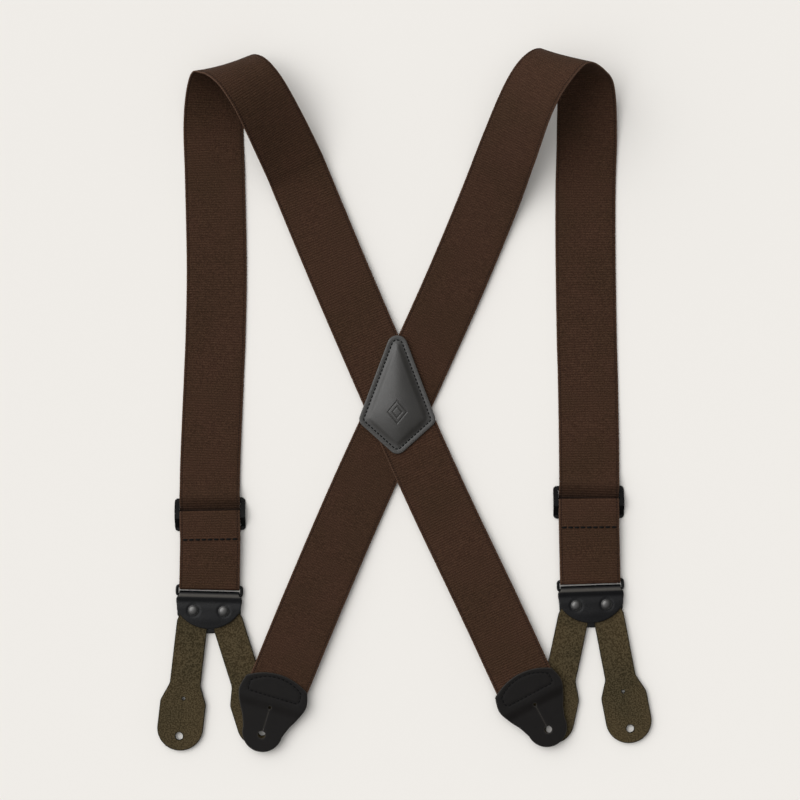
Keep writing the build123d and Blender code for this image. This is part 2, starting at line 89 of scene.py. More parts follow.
FLAP_ROLL = 25.3               # half width of the leather where it rolls round the bar
FLAP_HALF_WIDTH = 26.7
FLAP_SIDE = 12.8
FLAP_LENGTH = 28.1
FAR_LEAF_EXTRA = 4.2
RIVET_SPACING = 25.6
RIVET_BELOW_BAR = 12.9
RIVET_HEAD = 4.5
RIVET_RIM = 0.4
RIVET_DOME = 1.4

TAB_BASE = 2.2
TAB_EYE = 10.3
TAB_PIVOT = 1.8
TAB_NECK = 13.0
TAB_HEAD = 19.3
TAB_EYE_END = 10.0
TAB_FLARE_START = 63.0
TAB_FLARE_END = 78.0
TAB_FLARE_RADIUS = 9.0
TAB_LENGTH = 119.1
TAB_END_RADIUS = 19.2
SLIT_HOLE_DISTANCE = 75.0
SLIT_HOLE = 1.3
BUTTONHOLE_DISTANCE = 106.9
BUTTONHOLE = 3.2
CLOSED_SLIT = 0.12             # the cut leather springs back against itself

STRAP_RISE = 3.4               # of the strap over the slide's upper bar
STRAP_DIVE = 0.75              # and down towards its centre bar

BACK_LOBE = 17.0
BACK_LOBE_CENTRE = 2.6
BACK_SIDE = [(17.0, 2.6), (20.6, 12.0), (25.2, 20.5), (29.5, 32.5), (27.0, 44.5)]
BACK_TOP = 53.0
BACK_SLIT_HOLE_Y = 24.0
BACK_SLIT_HOLE = 1.4
STRAP_END_Y = 28.0
LINING_BASE = 4.6

UNDER = LEATHER + LAYER_GAP + MID
OVER = UNDER + WEBBING + LAYER_GAP
PATCH_BASE = OVER + MID + LAYER_GAP
NEAR_LEAF_TOP = RING_HEIGHT + WIRE / 2 + 0.05 + LEATHER
IN_TAB = LINING_BASE + LINING + LAYER_GAP + MID
BACK_SPLIT_Y = -76.9

# A station is the middle of the webbing x, y, z, then how far the line across it is turned
# about +Z and how far its right edge is banked up, in degrees.
STRAPS = {
    "left": {
        "front": [(-158, -88.9, THROUGH, 1, 0), (-158, -50, THROUGH, -1, 0),
                  (-155, 25, MID, -2, 0), (-153.5, 62, MID, -1, 0)],
        "loop": [(-152.5, 120, MID, 0, 0), (-154, 195, 1, 1, 0), (-155, 240, 2, 1, -5),
                 (-151, 280, 14, 10, -28), (-142, 287, 28, 25, -32), (-130, 281, 40, 33, -28),
                 (-118.5, 267, 44, 35, -22), (-107.5, 248, 38, 33, -17), (-88, 208, 14, 27, -6),
                 (-77.5, 183, 6, 25, -2), (-45, 105, 4.6, 24, 0), (0.5, 0, OVER, 24, 0),
                 (35, BACK_SPLIT_Y, 4.5, 24.5, 0)],
        "back": [(75.5, -162, 6, 25.5, 0), (103.4, -222.3, IN_TAB, 27.3, 0),
                 (113.9, -245.2, IN_TAB, 28, 0)],
    },
    "right": {
        "front": [(161.5, -78.6, THROUGH, 0.5, 0), (162, -45, THROUGH, 0, 0),
                  (161, 25, MID, 1, 0), (160, 62, MID, 1, 0)],
        "loop": [(159, 130, MID, 0, 0), (159, 185, 1, -1, 0), (160, 230, 2, -1, 5),
                 (158.5, 270, 9, -4, 21), (152, 286, 22, -15, 33), (138, 292, 40, -21, 33),
                 (122, 279, 49, -30, 28), (108, 256, 46, -34, 23), (92.5, 216, 25, -28, 13),
                 (76, 172, 5, -24, 4), (45, 98, 3.1, -23.5, 0), (0.5, 0, UNDER, -24, 0),
                 (-34.5, BACK_SPLIT_Y, 3, -24, 0)],
        "back": [(-71, -162, 5.6, -23, 0), (-96.5, -223.9, IN_TAB, -18.9, 0),
                 (-106.2, -247.5, IN_TAB, -17, 0)],
    },
}
UNITS = {
    "left": {"slide": (-158.0, -88.9), "slide_angle": 1.0, "ring": (-158.6, -157.2), "ring_angle": -1.5,
             "outer": (-RIVET_SPACING / 2, -6.6), "inner": (RIVET_SPACING / 2, 17.5),
             "back": (-114.3, -274.3), "back_angle": -16.8, "back_strap": "right"},
    "right": {"slide": (161.5, -78.6), "slide_angle": 0.5, "ring": (163.1, -152.2), "ring_angle": 2.1,
              "outer": (RIVET_SPACING / 2, 10.9), "inner": (-RIVET_SPACING / 2, -12),
              "back": (127.1, -269.9), "back_angle": 28.05, "back_strap": "left"},
}


# ---- node helpers ----
def new_material(name, color, roughness, **constants):
    """A Principled material, with constant sockets set by name. Returns it, its tree and its shader."""
    material = bpy.data.materials.new(name)
    material.use_nodes = True
    shader = material.node_tree.nodes["Principled BSDF"]
    shader.inputs["Base Color"].default_value = (*color, 1)
    shader.inputs["Roughness"].default_value = roughness
    for socket, value in constants.items():
        shader.inputs[socket.replace("_", " ")].default_value = value
    return material, material.node_tree, shader


def node(tree, kind, inputs=None, **settings):
    """A new node; inputs maps a socket's name or index to a value or to another node's output."""
    made = tree.nodes.new(kind)
    for key, value in settings.items():
        setattr(made, key, value)
    for key, value in (inputs or {}).items():
        if isinstance(value, bpy.types.NodeSocket):
            tree.links.new(value, made.inputs[key])
        else:
            made.inputs[key].default_value = value
    return made


def math(tree, operation, a, b=0.0):
    return node(tree, "ShaderNodeMath", {0: a, 1: b}, operation=operation).outputs[0]


def mix(tree, factor, a, b):
    """Colour a where factor is 0 and b where it is 1."""
    made = node(tree, "ShaderNodeMix", {"Factor": factor}, data_type="RGBA")
    for index, colour in ((6, a), (7, b)):
        if isinstance(colour, bpy.types.NodeSocket):
            tree.links.new(colour, made.inputs[index])
        else:
            made.inputs[index].default_value = (*colour, 1)
    return made.outputs[2]


def ramp(tree, factor, low, high):
    """0 below low, 1 above high, smooth between."""
    made = node(tree, "ShaderNodeMapRange", {"Value": factor, "From Min": low, "From Max": high},
                interpolation_type="SMOOTHSTEP")
    return made.outputs[0]


def noise(tree, size, detail=3.0, vector=None):
    """Noise whose blotches are about size millimetres across, from 0 to 1."""
    inputs = {"Scale": 1 / (size * MM), "Detail": detail}
    if vector is None:
        vector = node(tree, "ShaderNodeTexCoord").outputs["Object"]
    inputs["Vector"] = vector
    return node(tree, "ShaderNodeTexNoise", inputs).outputs["Fac"]


def bump(tree, shader, height, depth):
    """Bump of the given height map, 1 standing for depth millimetres."""
    made = node(tree, "ShaderNodeBump", {"Height": height, "Distance": depth * MM, "Strength": 1.0})
    tree.links.new(made.outputs[0], shader.inputs["Normal"])


# ---- materials ----
def webbing_material():
    """Ribbed elastic: weft ribs across the strap, warp columns along it and tighter selvedges."""
    rib_pitch, column_pitch, selvedge = 2.1, 1.27, 23.3
    material, tree, shader = new_material("webbing", (0.05, 0.025, 0.015), 0.8, Specular_IOR_Level=0.1)
    place = node(tree, "ShaderNodeSeparateXYZ", {0: node(tree, "ShaderNodeUVMap", uv_map="weave").outputs[0]})
    across, along = place.outputs[0], place.outputs[1]
    wobble = math(tree, "MULTIPLY", noise(tree, 6.0), 0.5 * MM)
    ribs = math(tree, "SINE", math(tree, "MULTIPLY", math(tree, "ADD", along, wobble),
                                   2 * pi / (rib_pitch * MM)))
    columns = math(tree, "SINE", math(tree, "MULTIPLY", across, 2 * pi / (column_pitch * MM)))
    weave = math(tree, "ADD", math(tree, "MULTIPLY", ribs, 0.34), math(tree, "MULTIPLY", columns, 0.16))
    weave = math(tree, "ADD", weave, 0.5)
    fibre = noise(tree, 0.9, 4.0)
    height = math(tree, "ADD", weave, math(tree, "MULTIPLY", fibre, 0.5))
    beside = math(tree, "ABSOLUTE", math(tree, "SUBTRACT", math(tree, "ABSOLUTE", across), selvedge * MM))
    stitched_line = math(tree, "SUBTRACT", 1.0, ramp(tree, beside, 0.3 * MM, 0.7 * MM))
    dotted = math(tree, "MULTIPLY", stitched_line, ramp(tree, ribs, -0.9, 0.5))
    melange = mix(tree, ramp(tree, fibre, 0.36, 0.64), (0.0252, 0.011, 0.0052), (0.079, 0.0405, 0.0234))
    woven = mix(tree, math(tree, "MULTIPLY", ramp(tree, weave, 0.9, 0.1), 0.5), melange,
                (0.0216, 0.0095, 0.0045))
    warmth = mix(tree, ramp(tree, noise(tree, 45.0), 0.35, 0.65), (0.0396, 0.0216, 0.0112),
                 (0.0558, 0.026, 0.0162))
    blotch = mix(tree, 0.3, woven, warmth)
    lined = mix(tree, math(tree, "MULTIPLY", dotted, 0.9), blotch, (0.012, 0.006, 0.004))
    # painted highlight: a lighter line along the outermost half millimetre of each selvedge
    rim = ramp(tree, math(tree, "ABSOLUTE", across), 24.5 * MM, 25.2 * MM)
    edge_highlighted = mix(tree, math(tree, "MULTIPLY", rim, 0.5), lined, (0.115, 0.066, 0.045))
    # painted shade: the base colour darkens towards the crease where the strap dives under the slide's centre
    # bar fold
    crease_shade = node(tree, "ShaderNodeAttribute", attribute_name="crease_shade").outputs["Fac"]
    tree.links.new(mix(tree, math(tree, "MULTIPLY", crease_shade, 0.96), edge_highlighted, (0.006, 0.0035, 0.0025)),
                   shader.inputs["Base Color"])
    bump(tree, shader, height, 0.45)
    return material


def leather_material(name, color, roughness, gloss, wear_and_highlight_share):
    """Smooth finished leather: fine pebbled grain, a little mottling and paler edges, partly wear and partly
    painted highlight.
    """
    material, tree, shader = new_material(name, color, roughness, Specular_IOR_Level=gloss)
    position = node(tree, "ShaderNodeTexCoord").outputs["Object"]
    warp = node(tree, "ShaderNodeTexNoise", {"Vector": position, "Scale": 400.0, "Detail": 2.0})
    bent = node(tree, "ShaderNodeVectorMath", {0: warp.outputs["Color"], 1: (0.0006,) * 3},
                operation="MULTIPLY")
    moved = node(tree, "ShaderNodeVectorMath", {0: position, 1: bent.outputs[0]}, operation="ADD")
    cells = node(tree, "ShaderNodeTexVoronoi", {"Vector": moved.outputs[0], "Scale": 1300.0},
                 feature="DISTANCE_TO_EDGE")
    pebbles = ramp(tree, cells.outputs["Distance"], 0.0, 0.25)
    blotch = noise(tree, 9.0, 4.0)
    height = math(tree, "ADD", pebbles, math(tree, "MULTIPLY", blotch, 1.2))
    edge = node(tree, "ShaderNodeAttribute", attribute_name="edge_mm").outputs["Fac"]
    # paler where edge_mm is small: wear at the patch's edges, wear and painted highlight at the back tabs'
    # edges, painted highlight along the flap's roll crest
    wear_and_highlight = math(tree, "MULTIPLY", math(tree, "SUBTRACT", 1.0, ramp(tree, edge, 0.1, 0.9)), wear_and_highlight_share)
    lighter = tuple(c * 1.35 for c in color)
    darker = tuple(c * 0.75 for c in color)
    mottled = mix(tree, blotch, darker, lighter)
    tree.links.new(mix(tree, wear_and_highlight, mottled, (0.085, 0.078, 0.068)), shader.inputs["Base Color"])
    tree.links.new(math(tree, "ADD", roughness - 0.08, math(tree, "MULTIPLY", blotch, 0.16)),
                   shader.inputs["Roughness"])
    bump(tree, shader, height, 0.03)
    return material


def suede_material():
    """Olive suede with a short nap, mottled, and dark at its cut edges."""
    material, tree, shader = new_material("suede", (0.055, 0.046, 0.024), 0.95, Specular_IOR_Level=0.08)
    nap = noise(tree, 1.2, 7.0)
    patches = ramp(tree, noise(tree, 50.0, 2.0), 0.3, 0.7)
    speckle = mix(tree, ramp(tree, nap, 0.38, 0.62), (0.0215, 0.0155, 0.0065), (0.087, 0.067, 0.0355))
    tint = mix(tree, patches, (0.032, 0.026, 0.0137), (0.071, 0.049, 0.0243))
    shade = mix(tree, 0.36, speckle, tint)
    edge = node(tree, "ShaderNodeAttribute", attribute_name="edge_mm").outputs["Fac"]
    cut = math(tree, "SUBTRACT", 1.0, ramp(tree, edge, 0.25, 0.95))
    tree.links.new(mix(tree, math(tree, "MULTIPLY", cut, 0.85), shade, (0.014, 0.013, 0.010)),
                   shader.inputs["Base Color"])
    bump(tree, shader, nap, 0.3)
    return material


def metal_material(name, color, roughness, metallic, scratch, gloss):
    """Plated or enamelled metal with faint unevenness in its gloss."""
    material, tree, shader = new_material(name, color, roughness, Metallic=metallic, Specular_IOR_Level=gloss)
    cloud = noise(tree, 3.0, 4.0)
    tree.links.new(math(tree, "ADD", roughness - scratch / 2, math(tree, "MULTIPLY", cloud, scratch)),
                   shader.inputs["Roughness"])
    lighter = tuple(c * 1.25 for c in color)
    tree.links.new(mix(tree, cloud, color, lighter), shader.inputs["Base Color"])
    bump(tree, shader, noise(tree, 0.8, 3.0), 0.01)
    return material


def thread_material():
    """Waxed black thread with a fine twist."""
    material, tree, shader = new_material("thread", (0.003, 0.003, 0.003), 0.6, Specular_IOR_Level=0.08)
    twist = noise(tree, 0.3, 2.0)
    tree.links.new(mix(tree, twist, (0.002, 0.002, 0.002), (0.006, 0.006, 0.006)),
                   shader.inputs["Base Color"])
    bump(tree, shader, twist, 0.08)
    return material


WEBBING_LOOK = webbing_material()
PATCH_LOOK = leather_material("patch_leather", (0.0155, 0.0140, 0.0118), 0.38, 0.64, 0.25)
# the last number sets the painted highlight along the flap's roll crest
FLAP_LOOK = leather_material("flap_leather", (0.0025, 0.0025, 0.003), 0.26, 0.17, 0.7)
# the last number pales the back tabs' edges: partly wear, partly painted highlight
BACK_LOOK = leather_material("back_tab_leather", (0.0055, 0.0046, 0.0042), 0.42, 0.12, 0.3)
SUEDE_LOOK = suede_material()
SLIDE_LOOK = metal_material("black_metal", (0.002, 0.002, 0.002), 0.28, 0.0, 0.1, 0.13)
RIVET_LOOK = metal_material("gunmetal", (0.075, 0.074, 0.072), 0.24, 1.0, 0.1, 0.5)
THREAD_LOOK = thread_material()


# ---- meshes ----
def make_piece(name, vertices, faces, look, slot, uv=None, edge=None):
    """A smooth-shaded mesh object from millimetre vertices, with optional weave UVs and edge distances."""
    mesh = bpy.data.meshes.new(name)
    mesh.from_pydata((np.asarray(vertices) * MM).tolist(), [], faces)
    mesh.validate()
    mesh.polygons.foreach_set("use_smooth", [True] * len(mesh.polygons))
    corner_vertices = np.zeros(len(mesh.loops), int)
    mesh.loops.foreach_get("vertex_index", corner_vertices)
    if uv is not None:
        layer = mesh.uv_layers.new(name="weave")
        layer.data.foreach_set("uv", (np.asarray(uv)[corner_vertices] * MM).astype(np.float32).ravel())
    if edge is not None:
        layer = mesh.attributes.new("edge_mm", "FLOAT", "POINT")
        layer.data.foreach_set("value", np.asarray(edge, np.float32))
    piece = bpy.data.objects.new(name, mesh)
    bpy.context.scene.collection.objects.link(piece)
    mesh.materials.append(look)
    return piece


def join_shapes(shapes):
    """Several (vertices, faces) as one."""
    vertices, faces, start = [], [], 0
    for points, polygons in shapes:
        vertices.append(np.asarray(points, float))
        faces += [tuple(index + start for index in polygon) for polygon in polygons]
        start += len(points)
    return np.concatenate(vertices), faces


def tube(centres, sides, ups, half_width, half_height, count=10, closed=False):
    """A smooth tube whose oval section has the given half sizes at each centre."""
    turn = np.linspace(0, 2 * pi, count, endpoint=False)
    ring = (np.cos(turn)[None, :, None] * sides[:, None, :] * np.asarray(half_width)[:, None, None]
            + np.sin(turn)[None, :, None] * ups[:, None, :] * np.asarray(half_height)[:, None, None])
    vertices = (centres[:, None, :] + ring).reshape(-1, 3)
    rows = len(centres)
    faces = []
    for row in range(rows if closed else rows - 1):
        for column in range(count):
            right, ahead = (column + 1) % count, (row + 1) % rows
            faces.append((row * count + column, row * count + right,
                          ahead * count + right, ahead * count + column))
    if not closed:
        faces.append(tuple(range(count))[::-1])
        faces.append(tuple((rows - 1) * count + column for column in range(count)))
    return vertices, faces


# ---- webbing ----
def webbing_section():
    """Points round the webbing's cross-section: (across, through), with a fine groove at each selvedge."""
    flat = WEBBING_WIDTH / 2 - MID
    groove = 23.2
    row = np.array([0, 3, 6, 9, 12, 15, 18, 20.5, groove - 0.45, groove, groove + 0.45, flat])
    depth = np.where(row == groove, 0.13, 0.0)
    top = np.concatenate([-row[:0:-1], row])
    top_height = MID - np.concatenate([depth[:0:-1], depth])
    round_turn = np.linspace(pi / 2, -pi / 2, 7)[1:-1]
    right = np.stack([flat + MID * np.cos(round_turn), MID * np.sin(round_turn)], 1)
    left = -right
    upper = np.stack([top, top_height], 1)
    lower = np.stack([top[::-1], -top_height[::-1]], 1)
    return np.concatenate([upper, right, lower, left])


SECTION = webbing_section()


def webbing_piece(name, points, across, normal, along, crease_shade=None):
    """A strap through the given middle points; along is the distance of each from the strap's start, and the
    last argument is a painted shade where the strap dives into a fold, from 0, unshaded, to 1, darkest."""
    vertices = (points[:, None, :] + SECTION[None, :, :1] * across[:, None, :]
                + SECTION[None, :, 1:] * normal[:, None, :])
    rows, count = len(points), len(SECTION)
    uv = np.stack([np.broadcast_to(SECTION[:, 0], (rows, count)),
                   np.broadcast_to(along[:, None], (rows, count))], 2)
    faces = [(row * count + column, (row + 1) * count + column,
              (row + 1) * count + (column + 1) % count, row * count + (column + 1) % count)
             for row in range(rows - 1) for column in range(count)]
    faces.append(tuple(range(rows * count, (rows + 1) * count)))
    faces.append(tuple(range((rows + 1) * count, (rows + 2) * count))[::-1])
    vertices = np.concatenate([vertices, vertices[:1], vertices[-1:]]).reshape(-1, 3)
    uv = np.concatenate([uv, uv[:1], uv[-1:]]).reshape(-1, 2)
    piece = make_piece(name, vertices, faces, WEBBING_LOOK, "webbing", uv=uv)
    # the painted crease shade goes on each point as an attribute
    if crease_shade is not None:
        values = np.repeat(np.concatenate([crease_shade, crease_shade[:1], crease_shade[-1:]]), count)
        layer = piece.data.attributes.new("crease_shade", "FLOAT", "POINT")
        layer.data.foreach_set("value", values.astype(np.float32))
    return piece


def curve_through(stations, step):
    """Points at about step along a smooth curve through the stations, and each station's index among them."""
    rows = np.array([stations[0]] + list(stations) + [stations[-1]], float)
    dimensions = min(3, rows.shape[1])
    curve, marks = [], []
    for index in range(1, len(rows) - 2):
        a, b, c, d = rows[index - 1:index + 3]
        count = max(2, round(float(np.linalg.norm((c - b)[:dimensions])) / step))
        t = np.arange(count)[:, None] / count
        marks.append(sum(len(part) for part in curve))
        curve.append(0.5 * (2 * b + (c - a) * t + (2 * a - 5 * b + 4 * c - d) * t ** 2
                            + (3 * b - 3 * c + d - a) * t ** 3))
    marks.append(sum(len(part) for part in curve))
    curve.append(rows[-1:])
    return np.concatenate(curve), marks


def unit_rows(vectors):
    return vectors / np.linalg.norm(vectors, axis=-1, keepdims=True)


def strap_frames(stations, step=2.5):
    """Middle points, across and normal directions and distances along a strap, and its stations' indices."""
    curve, marks = curve_through(stations, step)
    points = curve[:, :3]
    ahead = unit_rows(np.gradient(points, axis=0))
    turn, bank = np.radians(curve[:, 3]), np.radians(curve[:, 4])
    across = np.stack([np.cos(turn) * np.cos(bank), np.sin(turn) * np.cos(bank), np.sin(bank)], 1)
    across = unit_rows(across - ahead * (across * ahead).sum(1, keepdims=True))
    normal = np.cross(across, ahead)
    along = np.concatenate([[0], np.cumsum(np.linalg.norm(np.diff(points, axis=0), axis=1))])
    return points, across, normal, along, marks


def over_end_bar(points, slide):
    """Lift the strap where it passes over the slide's upper bar and let it dive under the centre bar.
    Returns a painted shade for the crease where the strap dives under the fold, 1 being under the fold."""
    ahead = points[:, 1] - slide[1]
    hump = STRAP_RISE * np.exp(-((ahead - 15.0) / 6.5) ** 2)
    dive = -STRAP_DIVE * np.exp(-((ahead - 3) / 3.5) ** 2)
    points[:, 2] += (hump + dive) * np.clip(ahead / 2, 0, 1)
    into = np.maximum(ahead - 2.5, 0)
    return 0.6 * np.exp(-(into / 9) ** 1.3) + 0.4 * np.exp(-(into / 1.8) ** 2)


def build_straps():
    """Each strap is three pieces that meet on the same section, because its two ends move."""
    for side, strap in STRAPS.items():
        stations = strap["front"] + strap["loop"] + strap["back"]
        *rows, marks = strap_frames(stations, 1.8)
        front_count = marks[len(strap["front"]) - 1]
        # painted shade along the front run, darkest where it dives under the slide's centre bar fold
        crease_shade = np.zeros(len(rows[0]))
        crease_shade[:front_count] = over_end_bar(rows[0][:front_count], UNITS[side]["slide"])
        front_end = marks[len(strap["front"]) - 1]
        loop_mark = len(strap["front"]) + len(strap["loop"]) - 1
        loop_end = marks[loop_mark]
        back_side = next(other for other, unit in UNITS.items() if unit["back_strap"] == side)
        front = webbing_piece(f"{side}_strap_front_webbing", *(row[:front_end + 1] for row in rows),
                              crease_shade=crease_shade[:front_end + 1])
        loop = webbing_piece(f"{side}_strap_webbing", *(row[front_end:loop_end + 1] for row in rows))
        back = webbing_piece(f"{back_side}_back_end_webbing", *(row[loop_end:] for row in rows))
        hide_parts(f"{side}_strap_front")
        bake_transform(front)
        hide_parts(f"{side}_strap")
        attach(loop, "straps")
        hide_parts(f"{back_side}_back_end")
        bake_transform(back)


# ---- places ----
def on_plane(origin, angle, height=0.0):
    """A function from a unit's own (x, y, z) points to the whole object's frame."""
    turn = radians(angle)
    x_dir, y_dir = np.array([cos(turn), sin(turn), 0]), np.array([-sin(turn), cos(turn), 0])

    def place(points):
        points = np.asarray(points, float)
        return (np.array([origin[0], origin[1], height]) + points[..., :1] * x_dir + points[..., 1:2] * y_dir
                + points[..., 2:3] * np.array([0, 0, 1]))
    return place


def half_turn(y, z, radius, start, end, steps=10):
    """Points (0, y, z) round a bar, from one angle to another in degrees, 90 being straight up."""
    turn = np.radians(np.linspace(start, end, steps))
    return np.stack([0 * turn, y + radius * FULLNESS * np.cos(turn), z + radius * np.sin(turn)], 1)


def build_lower_webbing(side, unit):
    """The strap's end: sewn round the centre bar, down to the ring, round it and back up into the slide."""
    at_slide = on_plane(unit["slide"], unit["slide_angle"])
    at_ring = on_plane(unit["ring"], unit["ring_angle"])
    round_bar = half_turn(BAR_EDGE, BAR_MIDDLE, BAR_WRAP, -90, 90)
    inner = np.array([[0, BAR_EDGE - SEWN_END, BAR_MIDDLE - BAR_WRAP]])
    outer = np.array([[0, BAR_EDGE - SEWN_END, BAR_MIDDLE + BAR_WRAP]])
    round_ring = half_turn(RING_BAR_GAP, RING_HEIGHT, FOLD_WRAP, 90, 270)
    leg = RING_BAR_GAP + FOLD_LEG
    into_ring = np.array([[0, leg, RING_HEIGHT + FOLD_WRAP]])
    out_of_ring = np.array([[0, leg, RING_HEIGHT - FOLD_WRAP]])
    through = np.array([[0, -SLIDE_LENGTH / 2 - DROP_START, THROUGH], [0, -DROP_START, THROUGH]])
    corners = np.concatenate([at_slide(inner), at_slide(round_bar), at_slide(outer), at_ring(into_ring),
                              at_ring(round_ring), at_ring(out_of_ring), at_slide(through)])
    rows = [corners[0]]
    for start, end in zip(corners[:-1], corners[1:]):
        count = max(1, round(float(np.linalg.norm(end - start)) / 3.0))
        rows += [start + (end - start) * (step + 1) / count for step in range(count)]
    points = np.array(rows)
    ahead = unit_rows(np.gradient(points, axis=0))
    share = np.clip((points[:, 1] - unit["ring"][1]) / (unit["slide"][1] - unit["ring"][1]), 0, 1)
    angle = np.radians(unit["ring_angle"] + share * (unit["slide_angle"] - unit["ring_angle"]))
    across = np.stack([np.cos(angle), np.sin(angle), 0 * angle], 1)
    across = unit_rows(across - ahead * (across * ahead).sum(1, keepdims=True))
    normal = np.cross(across, ahead)
    along = np.concatenate([[0], np.cumsum(np.linalg.norm(np.diff(points, axis=0), axis=1))])
    piece = webbing_piece(f"{side}_lower_webbing", points, across, normal, along)
    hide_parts(f"{side}_sewn_end", f"{side}_strap_return", f"{side}_ring_fold", f"{side}_strap_drop")
    start = at_slide([0, -SEWN_END - 2, BAR_MIDDLE]) * MM
    end = at_ring([0, leg, RING_HEIGHT]) * MM
    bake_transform(piece)


# ---- leather plates ----
def rounded_polygon(corners, radii, step=1.0):
    """A closed outline with an arc at each corner, its points about step apart."""
    corners = np.asarray(corners, float)
    outline = []
    for index, (corner, radius) in enumerate(zip(corners, radii)):
        before = unit_rows(corners[index - 1] - corner)
        after = unit_rows(corners[(index + 1) % len(corners)] - corner)
        half = np.arccos(np.clip(before @ after, -1, 1)) / 2
        if radius == 0:
            outline.append(corner[None])
            continue
        reach = radius / np.tan(half)
        centre = corner + unit_rows(before + after) * radius / np.sin(half)
        start, end = corner + before * reach - centre, corner + after * reach - centre
        sweep = pi - 2 * half
        count = max(3, round(radius * sweep / step))
        way = np.sign(start[0] * end[1] - start[1] * end[0])
        turn = way * np.linspace(0, sweep, count + 1)
        outline.append(centre + np.stack([start[0] * np.cos(turn) - start[1] * np.sin(turn),
                                          start[0] * np.sin(turn) + start[1] * np.cos(turn)], 1))
    points = np.concatenate(outline)
    filled = []
    for start, end in zip(points, np.roll(points, -1, 0)):
        length = float(np.linalg.norm(end - start))
        count = max(1, round(length / step))
        if length > 1e-6:
            filled += [start + (end - start) * part / count for part in range(count)]
    return anticlockwise(np.array(filled))


def anticlockwise(loop):
    x, y = loop[:, 0], loop[:, 1]
    area = (x * np.roll(y, -1) - np.roll(x, -1) * y).sum()
    return loop if area > 0 else loop[::-1]


def circle(centre, radius, count=32):
    turn = np.linspace(0, 2 * pi, count, endpoint=False)
    return np.stack([centre[0] + radius * np.cos(turn), centre[1] + radius * np.sin(turn)], 1)


def keyhole(big_y, big, small_y, small, slit):
    """A round buttonhole at big_y, joined by a slit to a small hole at small_y, above it."""
    big_open = np.arcsin(slit / 2 / big)
    small_open = np.arcsin(slit / 2 / small)
    big_turn = np.linspace(pi / 2 + big_open, 2 * pi + pi / 2 - big_open, 30)
    small_turn = np.linspace(-pi / 2 + small_open, 2 * pi - pi / 2 - small_open, 14)
    big_loop = np.stack([big * np.cos(big_turn), big_y + big * np.sin(big_turn)], 1)
    small_loop = np.stack([small * np.cos(small_turn), small_y + small * np.sin(small_turn)], 1)
    reach = np.linspace(0, 1, 16)[1:-1, None]
    up = big_loop[-1] + (small_loop[0] - big_loop[-1]) * reach
    down = small_loop[-1] + (big_loop[0] - small_loop[-1]) * reach
    return anticlockwise(np.concatenate([big_loop, up, small_loop, down]))


def inside(loop, points):
    """Which of the points lie inside a closed loop."""
    x, y = points[:, 0][:, None], points[:, 1][:, None]
    x0, y0 = loop[:, 0][None], loop[:, 1][None]
    x1, y1 = np.roll(loop[:, 0], -1)[None], np.roll(loop[:, 1], -1)[None]
    rise = np.where(np.abs(y1 - y0) < 1e-12, 1e-12, y1 - y0)
    crosses = ((y0 > y) != (y1 > y)) & (x < (x1 - x0) * (y - y0) / rise + x0)
    return crosses.sum(1) % 2 == 1


def distance(loops, points):
    """Each point's distance to the nearest of the closed loops."""
    nearest = np.full(len(points), 1e9)
    for loop in loops:
        start, run = loop, np.roll(loop, -1, 0) - loop
        length = np.maximum((run ** 2).sum(1), 1e-12)
        for first in range(0, len(points), 4000):
            part = points[first:first + 4000]
            offset = part[:, None] - start[None]
            share = np.clip((offset * run[None]).sum(2) / length[None], 0, 1)
            gap = np.linalg.norm(offset - share[..., None] * run[None], axis=2).min(1)
            nearest[first:first + 4000] = np.minimum(nearest[first:first + 4000], gap)
    return nearest


def inward(loop):
    """Unit vectors that point into an anticlockwise loop."""
    ahead = unit_rows(np.roll(loop, -1, 0) - np.roll(loop, 1, 0))
    return np.stack([-ahead[:, 1], ahead[:, 0]], 1)


def grid_points(loops, spacing, margin, fine=None):
    """A triangular grid of points inside the first loop, outside the others and clear of all by margin."""
    low, high = loops[0].min(0), loops[0].max(0)
    areas = [(low, high, spacing)] + ([fine] if fine else [])
    grids = []
    for number, (area_low, area_high, gap) in enumerate(areas):
        area_low, area_high = np.asarray(area_low, float), np.asarray(area_high, float)
        y = np.arange(area_low[1], area_high[1], gap * 0.866)
        x = np.arange(area_low[0], area_high[0] + gap, gap)
        grid = np.stack(np.meshgrid(x, y), 2)
        grid[1::2, :, 0] += gap / 2
        grid = grid.reshape(-1, 2)
        if number == 0 and fine:
            fine_low, fine_high = np.asarray(fine[0]) - gap / 2, np.asarray(fine[1]) + gap / 2
            grid = grid[((grid < fine_low) | (grid > fine_high)).any(1)]
        grids.append(grid)
    points = np.concatenate(grids)
    keep = inside(loops[0], points)
    for hole in loops[1:]:
        keep &= ~inside(hole, points)
    points = points[keep]
    return points[distance(loops, points) > margin]


